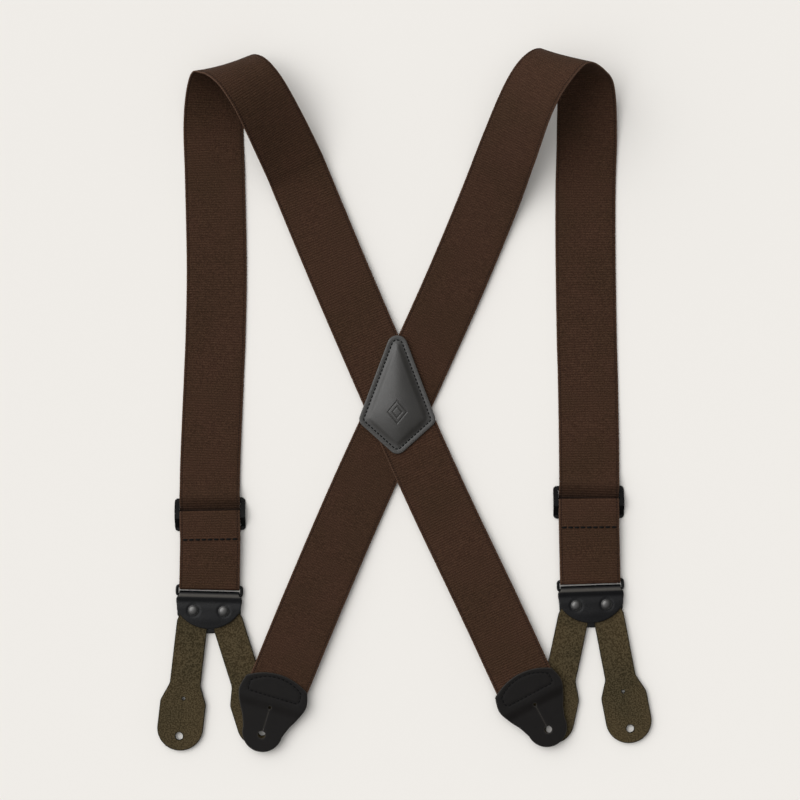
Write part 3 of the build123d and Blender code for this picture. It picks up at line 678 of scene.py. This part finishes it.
def plate(outline, holes, thickness, edge, spacing, relief=None, fine=None, hole_edge=None, rims=None):
    """A flat piece of leather with rounded edges: its (u, v, w) points, its faces and the points' distance
    to the edge. relief(u, v) raises the upper face; fine is a (low, high, spacing) area with more points;
    hole_edge is the rounding inside the holes; rims are the loops the distance is taken to."""
    turn = np.linspace(pi / 2, 0, 4)
    sine, cosine = np.sin(turn), np.cos(turn)
    points, faces, inner_loops, top_index, bottom_index = [], [], [], [], []
    start = 0
    for number, loop in enumerate([outline] + list(holes)):
        into = inward(loop) if number == 0 else -inward(loop)
        round_off = edge if number == 0 or hole_edge is None else hole_edge
        rim_up = np.concatenate([thickness / 2 - round_off * (1 - sine),
                                 round_off * (1 - sine[::-1]) - thickness / 2])
        rim_in = round_off * np.concatenate([1 - cosine, 1 - cosine[::-1]])
        count, steps = len(loop), len(rim_in)
        ring = loop[:, None, :] + into[:, None, :] * rim_in[None, :, None]
        heights = np.broadcast_to(rim_up[None, :, None], (count, steps, 1))
        points.append(np.concatenate([ring, heights], 2).reshape(-1, 3))
        for index in range(count):
            ahead = (index + 1) % count
            for step in range(steps - 1):
                quad = (start + index * steps + step, start + index * steps + step + 1,
                        start + ahead * steps + step + 1, start + ahead * steps + step)
                faces.append(quad if number == 0 else quad[::-1])
        inner_loops.append(ring[:, 0])
        top_index += [start + index * steps for index in range(count)]
        bottom_index += [start + index * steps + steps - 1 for index in range(count)]
        start += count * steps
    grid = grid_points(inner_loops, spacing, spacing * 0.45, fine)
    flat = np.concatenate(inner_loops + [grid])
    edges, first = [], 0
    for loop in inner_loops:
        edges += [(first + index, first + (index + 1) % len(loop)) for index in range(len(loop))]
        first += len(loop)
    found = delaunay_2d_cdt([tuple(p) for p in flat], edges, [], 0, 1e-6, True)
    source = [ids[0] if ids else None for ids in found[3]]
    triangles = np.array([[source[v] for v in face] for face in found[2]
                          if all(source[v] is not None for v in face)])
    middle = flat[triangles].mean(1)
    keep = inside(inner_loops[0], middle)
    for hole in inner_loops[1:]:
        keep &= ~inside(hole, middle)
    triangles = triangles[keep]
    count = len(grid)
    top = np.array(top_index + list(range(start, start + count)))
    bottom = np.array(bottom_index + list(range(start + count, start + 2 * count)))
    points += [np.column_stack([grid, np.full(count, thickness / 2)]),
               np.column_stack([grid, np.full(count, -thickness / 2)])]
    faces += [tuple(face) for face in top[triangles].tolist()]
    faces += [tuple(face[::-1]) for face in bottom[triangles].tolist()]
    points = np.concatenate(points)
    edge_distance = distance(rims or [outline] + list(holes), points[:, :2])
    if relief is not None:
        points[:, 2] += relief(points[:, 0], points[:, 1]) * (points[:, 2] / thickness + 0.5)
    return points, faces, edge_distance


def stitches(path, surface, pitch, length, radius, closed):
    """Short threads end to end along a path, bulging from the surface and sinking into it at their ends."""
    run = np.concatenate([path, path[:1]]) if closed else np.asarray(path, float)
    far = np.concatenate([[0], np.cumsum(np.linalg.norm(np.diff(run, axis=0), axis=1))])
    count = round(far[-1] / pitch)
    shapes = []
    along = np.array([-1, -0.85, -0.5, 0, 0.5, 0.85, 1])
    swell = np.sqrt(1 - 0.9 * along ** 4)
    for index in range(count):
        lean = rng.normal(0, 0.03)
        centre = far[-1] * (index + 0.5) / count
        x = np.interp(centre, far, run[:, 0])
        y = np.interp(centre, far, run[:, 1])
        ahead = np.array([np.interp(centre + 0.5, far, run[:, 0]) - np.interp(centre - 0.5, far, run[:, 0]),
                          np.interp(centre + 0.5, far, run[:, 1]) - np.interp(centre - 0.5, far, run[:, 1])])
        ahead = ahead / np.linalg.norm(ahead)
        ahead = np.array([ahead[0] - lean * ahead[1], ahead[1] + lean * ahead[0]])
        flat = np.array([x, y]) + along[:, None] * length / 2 * ahead
        height = surface(flat[:, 0], flat[:, 1]) + radius * (0.45 - 1.0 * along ** 4)
        side = np.broadcast_to([-ahead[1], ahead[0], 0.0], (len(along), 3))
        up = np.broadcast_to([0.0, 0.0, 1.0], (len(along), 3))
        shapes.append(tube(np.column_stack([flat, height]), side, up, radius * swell, radius * 0.8 * swell,
                           count=8))
    return join_shapes(shapes)


# ---- the crossing patch ----
def stamp(u, v):
    """A blind-stamped diamond with a smaller one inside it: 1 in the pressed lines and 0 outside them."""
    across, up = np.abs(u), np.abs(v + 2.5)
    depth = np.zeros(len(u))
    for half_width, half_height, line in ((8.0, 9.5, 0.4), (4.0, 4.8, 0.4)):
        slope = np.hypot(1 / half_width, 1 / half_height)
        away = np.abs(across / half_width + up / half_height - 1) / slope
        depth = np.maximum(depth, 1 / (1 + np.exp((away - line) / 0.1)))
    return depth


def dome(u, v):
    """A smooth rise from the kite's four sides, without creases along its middle lines."""
    corners = np.array(KITE, float)
    total = np.zeros(len(u))
    for start, end in zip(corners, np.roll(corners, -1, 0)):
        run = unit_rows(end - start)
        away = np.abs((u - start[0]) * run[1] - (v - start[1]) * run[0]) - SEAM_INSET
        total += np.exp(-0.22 * away)
    depth = -np.log(total) / 0.22
    return 6.5 * (1 - np.exp(-np.maximum(depth + 1.0, 0) / 17.0))


def build_patch():
    """The kite-shaped crossing patch: padded front, flat border band, stitched through to its backing."""
    outline = rounded_polygon(KITE, KITE_RADII, 1.0)
    seam = outline + inward(outline) * SEAM_INSET

    def relief(u, v):
        rim = distance([outline], np.stack([u, v], 1))
        groove = -0.35 * np.exp(-((rim - SEAM_INSET) / 0.8) ** 2)
        raised = np.clip((rim - SEAM_INSET - 0.3) / 5.0, 0, 1)
        return groove + raised * raised * (3 - 2 * raised) * dome(u, v) - 0.45 * stamp(u, v)

    points, faces, edge = plate(outline, [], LEATHER, 0.5, 1.1, relief, ((-9, -13), (9, 8), 0.28))
    front = make_piece("patch_front_leather", points + [0, 0, PATCH_BASE + LEATHER / 2], faces, PATCH_LOOK,
                       "black_leather", edge=edge)
    thread = stitches(seam, lambda u, v: np.full(len(u), PATCH_BASE + LEATHER - 0.3), STITCH_PITCH, 2.6, 0.5,
                      closed=True)
    stitching = make_piece("patch_front_thread", *thread, THREAD_LOOK, "thread")
    points, faces, edge = plate(outline, [], LEATHER, 0.5, 3.0)
    backing = make_piece("patch_backing_leather", points + [0, 0, LEATHER / 2], faces, PATCH_LOOK,
                         "black_leather", edge=edge)
    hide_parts("patch_front")
    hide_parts("patch_stitching")
    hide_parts("patch_backing")
    for piece in (front, stitching, backing):
        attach(piece, "straps")


# ---- slide seam, ring, flap and rivets ----
def build_seam(side, unit):
    """The stitches that hold the strap's end to itself below the slide."""
    place = on_plane(unit["slide"], unit["slide_angle"])
    half = WEBBING_WIDTH / 2 - SEAM_MARGIN
    path = np.array([[-half, -SEAM_BELOW_BAR], [half, -SEAM_BELOW_BAR]])
    top = BAR_MIDDLE + BAR_WRAP + MID
    shape = stitches(path, lambda u, v: np.full(len(u), top - 0.18), LONG_PITCH, 4.7, 0.8, closed=False)
    seam = make_piece(f"{side}_seam_thread", place(shape[0]), shape[1], THREAD_LOOK, "thread")
    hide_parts(f"{side}_seam")
    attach(seam, f"{side}_adjuster")


def build_ring(side, unit):
    """The wire ring: a narrow oblong with small bends at its ends."""
    place = on_plane(unit["ring"], unit["ring_angle"])
    half = RING_WIDTH / 2
    corners = [(half, 0), (half, RING_BAR_GAP), (-half, RING_BAR_GAP), (-half, 0)]
    path = rounded_polygon(corners, [RING_CORNER] * 4, 0.6)
    centres = place(np.column_stack([path, np.full(len(path), RING_HEIGHT)]))
    ahead = unit_rows(np.roll(centres, -1, 0) - np.roll(centres, 1, 0))
    up = np.broadcast_to([0.0, 0.0, 1.0], centres.shape)
    radius = np.full(len(path), WIRE / 2)
    shape = tube(centres, np.cross(up, ahead), up, radius, radius, count=18, closed=True)
    ring = make_piece(f"{side}_ring_wire", *shape, SLIDE_LOOK, "black_metal")
    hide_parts(f"{side}_ring")
    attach(ring, f"{side}_ring_link")


def leaf_arc(extra):
    """The lower edge of a flap leaf from left to right: across, and distance below the ring's bar."""
    end, bottom = FLAP_SIDE + extra, FLAP_LENGTH + extra
    drop = bottom - end
    radius = (FLAP_HALF_WIDTH ** 2 + drop ** 2) / (2 * drop)
    sweep = np.arcsin(FLAP_HALF_WIDTH / radius)
    turn = np.linspace(-sweep, sweep, 50)
    return np.stack([radius * np.sin(turn), bottom - radius * (1 - np.cos(turn))], 1)


def flap_relief(u, s):
    """The near leaf hollows below the roll, is pressed in round each rivet and swells between them."""
    hollow = -0.9 * np.exp(-((s + 6.0) / 3.0) ** 2)
    swell = 0.5 * np.exp(-((s + 20) / 5.0) ** 2) * np.exp(-(u / 16) ** 2)
    seats = 0.0
    for x in (-RIVET_SPACING / 2, RIVET_SPACING / 2):
        away = np.hypot(u - x, s + RIVET_BELOW_BAR)
        seats = seats - 0.4 * np.exp(-((away - 4.9) / 0.8) ** 2)
    return np.where(s < 0, hollow + swell + seats, 0)


def build_flap(side, unit):
    """Leather folded round the ring's lower bar: near leaf, roll and far leaf, cut flat and then bent."""
    place = on_plane(unit["ring"], unit["ring_angle"])
    roll = pi * ROLL_WRAP
    near, far = leaf_arc(0.0), leaf_arc(FAR_LEAF_EXTRA)
    neck = [(27.0, 9.0), (27.5, 6.0), (27.6, 3.4), (27.1, 1.7), (26.1, 0.7), (FLAP_ROLL, 0)]
    right = [(x, -y) for x, y in neck] + [(x, roll + y) for x, y in neck[::-1]]
    left = [(-x, y) for x, y in right[::-1]]
    corners = np.concatenate([near * [1, -1], right, (far * [1, 1] + [0, roll])[::-1], left])
    outline = rounded_polygon(corners, [0] * len(corners), 1.0)
    points, faces = plate(outline, [], LEATHER, 0.45, 1.0, flap_relief)[:2]
    u, s, w = points.T
    turn = np.clip(s, 0, roll) / ROLL_WRAP
    rise = ROLL_WRAP + w
    y = rise * np.sin(turn) * FULLNESS + np.minimum(s, 0) - np.maximum(s - roll, 0)
    z = RING_HEIGHT + rise * np.cos(turn)
    # painted highlight: the leather pales in a band along the roll's crest, given in place of an edge
    # distance
    roll_crest_highlight = np.abs(s + 0.3) * 0.5
    flap = make_piece(f"{side}_flap_leather", place(np.stack([u, y, z], 1)), faces, FLAP_LOOK,
                      "black_leather", edge=roll_crest_highlight)
    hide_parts(f"{side}_flap")
    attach(flap, f"{side}_flap_set")


def lathe(profile, count=40):
    """A closed surface of revolution from (radius, height) points that start and end on the axis."""
    profile = np.asarray(profile, float)
    turn = np.linspace(0, 2 * pi, count, endpoint=False)
    body = profile[1:-1]
    ring = np.stack([body[:, None, 0] * np.cos(turn), body[:, None, 0] * np.sin(turn),
                     np.broadcast_to(body[:, None, 1], (len(body), count))], 2).reshape(-1, 3)
    vertices = np.concatenate([ring, [[0, 0, profile[0, 1]], [0, 0, profile[-1, 1]]]])
    faces = []
    for row in range(len(body) - 1):
        for column in range(count):
            right = (column + 1) % count
            faces.append((row * count + column, (row + 1) * count + column,
                          (row + 1) * count + right, row * count + right))
    last = (len(body) - 1) * count
    for column in range(count):
        right = (column + 1) % count
        faces.append((len(ring), column, right))
        faces.append((len(ring) + 1, last + right, last + column))
    return vertices, faces


def build_rivets(side, unit):
    """A domed cap with a rolled rim over each post; the post is the CAD model's own."""
    at_ring = on_plane(unit["ring"], unit["ring_angle"])
    turn = np.linspace(0, pi / 2, 12)
    dome = np.stack([4.15 * np.sin(turn), NEAR_LEAF_TOP + RIVET_RIM + RIVET_DOME * np.cos(turn)], 1)
    rim_turn = np.linspace(pi / 2, -pi / 2, 7)
    rim = np.stack([RIVET_HEAD - 0.22 + 0.22 * np.cos(rim_turn),
                    NEAR_LEAF_TOP + 0.24 + 0.22 * np.sin(rim_turn)], 1)
    profile = np.concatenate([dome[:-1], [[4.13, NEAR_LEAF_TOP + 0.5]], rim, [[0, NEAR_LEAF_TOP + 0.02]]])
    for place in ("outer", "inner"):
        centre = at_ring([unit[place][0], -RIVET_BELOW_BAR, 0])
        vertices, faces = lathe(profile)
        cap = make_piece(f"{side}_{place}_rivet_dome", vertices + centre, faces, RIVET_LOOK, "gunmetal")
        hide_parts(f"{side}_{place}_rivet_cap")
        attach(cap, f"{side}_flap_set")
        bpy.data.objects[f"{side}_{place}_rivet_post"].data.materials[0] = RIVET_LOOK


# ---- tabs ----
def tab_outline():
    """A front tab with its rivet at (0, 0), running down -Y to a round end."""
    right = [(TAB_EYE, 0), (TAB_NECK, -TAB_EYE_END), (TAB_NECK, -TAB_FLARE_START), (TAB_HEAD, -TAB_FLARE_END),
             (TAB_HEAD, TAB_END_RADIUS - TAB_LENGTH)]
    turn = np.linspace(0, -pi, 60)[1:-1]
    end = np.stack([TAB_HEAD * np.cos(turn), TAB_END_RADIUS - TAB_LENGTH + TAB_END_RADIUS * np.sin(turn)], 1)
    turn = np.linspace(pi, 0, 32)[1:-1]
    eye = np.stack([TAB_EYE * np.cos(turn), TAB_EYE * np.sin(turn)], 1)
    corners = np.concatenate([right, end, [(-x, y) for x, y in right[::-1]], eye])
    radii = [0, 0, TAB_FLARE_RADIUS, TAB_FLARE_RADIUS, 0] + [0] * len(end)
    radii += [0, TAB_FLARE_RADIUS, TAB_FLARE_RADIUS, 0, 0] + [0] * len(eye)
    return rounded_polygon(corners, radii, 1.0)


def build_front_tabs(side, unit):
    """Two suede tabs, each swivelling on its rivet; the sheet is gently uneven."""
    at_ring = on_plane(unit["ring"], unit["ring_angle"])
    outline = tab_outline()
    holes = [circle((0, 0), TAB_PIVOT, 24),
             keyhole(-BUTTONHOLE_DISTANCE, BUTTONHOLE, -SLIT_HOLE_DISTANCE, SLIT_HOLE, CLOSED_SLIT)]
    rims = [outline, circle((0, -BUTTONHOLE_DISTANCE), BUTTONHOLE),
            circle((0, -SLIT_HOLE_DISTANCE), SLIT_HOLE)]
    for place in ("outer", "inner"):
        centre = at_ring([unit[place][0], -RIVET_BELOW_BAR, 0])
        to_frame = on_plane(centre[:2], unit[place][1], TAB_BASE + TAB_LEATHER / 2)
        points, faces, edge = plate(outline, holes, TAB_LEATHER, 0.45, 1.6, hole_edge=0.12, rims=rims)
        points[:, 2] += -tab_sag(points[:, 1])
        tab = make_piece(f"{side}_{place}_tab_suede", to_frame(points), faces, SUEDE_LOOK, "suede", edge=edge)
        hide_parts(f"{side}_{place}_tab")
        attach(tab, f"{side}_{place}_tab_body")


def tab_sag(y):
    """How far a tab has settled towards the table, none at its rivet."""
    share = np.clip((-y - 30) / 60, 0, 1)
    return 0.6 * share * share * (3 - 2 * share)


def back_outline():
    """A back tab round its buttonhole, with the strap's end under its wide top."""
    controls = [(*point, 0) for point in BACK_SIDE]
    side = curve_through(controls, 1.0)[0][:, :2]
    rise = BACK_TOP - BACK_SIDE[-1][1]
    radius = (BACK_SIDE[-1][0] ** 2 + rise ** 2) / (2 * rise)
    sweep = np.arcsin(BACK_SIDE[-1][0] / radius)
    turn = np.linspace(sweep, -sweep, 50)[1:-1]
    top = np.stack([radius * np.sin(turn), BACK_TOP - radius * (1 - np.cos(turn))], 1)
    turn = np.linspace(pi, 2 * pi, 50)[1:-1]
    lobe = np.stack([BACK_LOBE * np.cos(turn), BACK_LOBE_CENTRE + BACK_LOBE * np.sin(turn)], 1)
    return anticlockwise(np.concatenate([side, top, side[::-1] * [-1, 1], lobe]))


def build_back_tab(side, unit):
    """Front leather over the strap's end, the lining under it and the D-shaped seam."""
    to_frame = on_plane(unit["back"], unit["back_angle"])
    outline = back_outline()
    hole = keyhole(0.0, BUTTONHOLE, BACK_SLIT_HOLE_Y, BACK_SLIT_HOLE, CLOSED_SLIT)
    base = LINING_BASE + LINING + LAYER_GAP
    full = WEBBING + LAYER_GAP + BACK_COVER

    def thin_below(v):
        """The leather settles onto the lining below the strap's end."""
        share = np.clip((STRAP_END_Y + 1 - v) / 9, 0, 1)
        return 1 - 0.38 * share * share * (3 - 2 * share)

    points, faces, edge = plate(outline, [hole], full, 0.55, 1.3, hole_edge=0.3)
    low = points[:, 2] + full / 2
    groove = seam_groove(points[:, 0], points[:, 1])
    points[:, 2] = base + low * thin_below(points[:, 1]) - groove * low / full
    cover = make_piece(f"{side}_back_tab_leather", to_frame(points), faces, BACK_LOOK, "black_leather",
                       edge=edge)
    points, faces, edge = plate(outline, [hole], LINING, 0.4, 3.0)
    lining_points = to_frame(points + [0, 0, LINING_BASE + LINING / 2])
    lining = make_piece(f"{side}_back_tab_lining_leather", lining_points, faces, BACK_LOOK,
                        "lining_leather", edge=edge)
    shape = stitches(back_seam(), lambda u, v: np.full(len(u), base + full - 0.2), 3.8, 3.0, 0.5, closed=True)
    seam = make_piece(f"{side}_back_tab_thread", to_frame(shape[0]), shape[1], THREAD_LOOK, "thread")
    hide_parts(f"{side}_back_tab")
    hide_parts(f"{side}_back_tab_lining")
    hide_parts(f"{side}_back_tab_stitching")
    for piece in (cover, lining, seam):
        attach(piece, f"{side}_back_end_body")


def back_seam():
    """The D-shaped seam round the strap's end."""
    half, side_top, middle_top, lower = 22.3, 42.0, 50.0, 33.5
    rise = middle_top - side_top
    radius = (half ** 2 + rise ** 2) / (2 * rise)
    sweep = np.arcsin(half / radius)
    turn = np.linspace(-sweep, sweep, 40)
    arc = np.stack([radius * np.sin(turn), middle_top - radius * (1 - np.cos(turn))], 1)
    corners = np.concatenate([arc, [[half, lower], [-half, lower]]])
    return rounded_polygon(corners, [0] * len(arc) + [3.0, 3.0], 1.0)


def seam_groove(u, v):
    rim = distance([back_seam()], np.stack([u, v], 1))
    return 0.25 * np.exp(-(rim / 0.8) ** 2)


# ---- build everything ----
build_straps()
build_patch()
for side, unit in UNITS.items():
    build_lower_webbing(side, unit)
    build_seam(side, unit)
    build_ring(side, unit)
    build_flap(side, unit)
    build_rivets(side, unit)
    build_front_tabs(side, unit)
    build_back_tab(side, unit)
    slide = bpy.data.objects[f"{side}_slide"]
    slide.data.materials.clear()
    slide.data.materials.append(SLIDE_LOOK)
    rounded = slide.modifiers.new("rounded edges", "BEVEL")
    rounded.width = 0.3 * MM
    rounded.segments = 3
    rounded.limit_method = "ANGLE"


# ---- table, light and camera ----
SOFT_BOX = (-0.53, 0.32, 0.785)   # towards the middle of the bright side of the studio


def build_stage():
    scene = bpy.context.scene
    bpy.ops.mesh.primitive_plane_add(size=60)
    floor = bpy.context.object
    floor.name = "floor"
    floor.location.z = -0.0003
    material = new_material("floor", (0.863, 0.838, 0.799), 0.95, Specular_IOR_Level=0.0)[0]
    floor.data.materials.append(material)
    key = bpy.data.lights.new("key light", "SUN")
    key.angle = radians(50)
    key.energy = 0.95
    lamp = bpy.data.objects.new("key light", key)
    scene.collection.objects.link(lamp)
    lamp.rotation_euler = Vector((1.2, -0.75, -1.9)).to_track_quat("-Z", "Y").to_euler()
    world = bpy.data.worlds.new("studio")
    world.use_nodes = True
    tree = world.node_tree
    direction = node(tree, "ShaderNodeTexCoord").outputs["Generated"]
    facing = node(tree, "ShaderNodeVectorMath", {0: direction, 1: SOFT_BOX},
                  operation="DOT_PRODUCT").outputs["Value"]
    bright = math(tree, "POWER", math(tree, "MAXIMUM", facing, 0.0), 2.5)
    strength = math(tree, "ADD", 0.13, math(tree, "MULTIPLY", bright, 1.73))
    height = node(tree, "ShaderNodeSeparateXYZ", {0: direction}).outputs["Z"]
    backdrop = math(tree, "SUBTRACT", 0.8, math(tree, "MULTIPLY", ramp(tree, height, 0.17, 0.32), 0.8))
    strength = math(tree, "MAXIMUM", strength, backdrop)
    tree.links.new(strength, tree.nodes["Background"].inputs["Strength"])
    tree.nodes["Background"].inputs["Color"].default_value = (1, 1, 1, 1)
    scene.world = world
    camera_data = bpy.data.cameras.new("camera")
    camera_data.lens = 106.5
    camera_data.sensor_width = 36
    camera = bpy.data.objects.new("camera", camera_data)
    camera.location = (0.0023, 0.0076, 2.0)
    scene.collection.objects.link(camera)
    scene.camera = camera
    scene.view_settings.view_transform = "Standard"


build_stage()
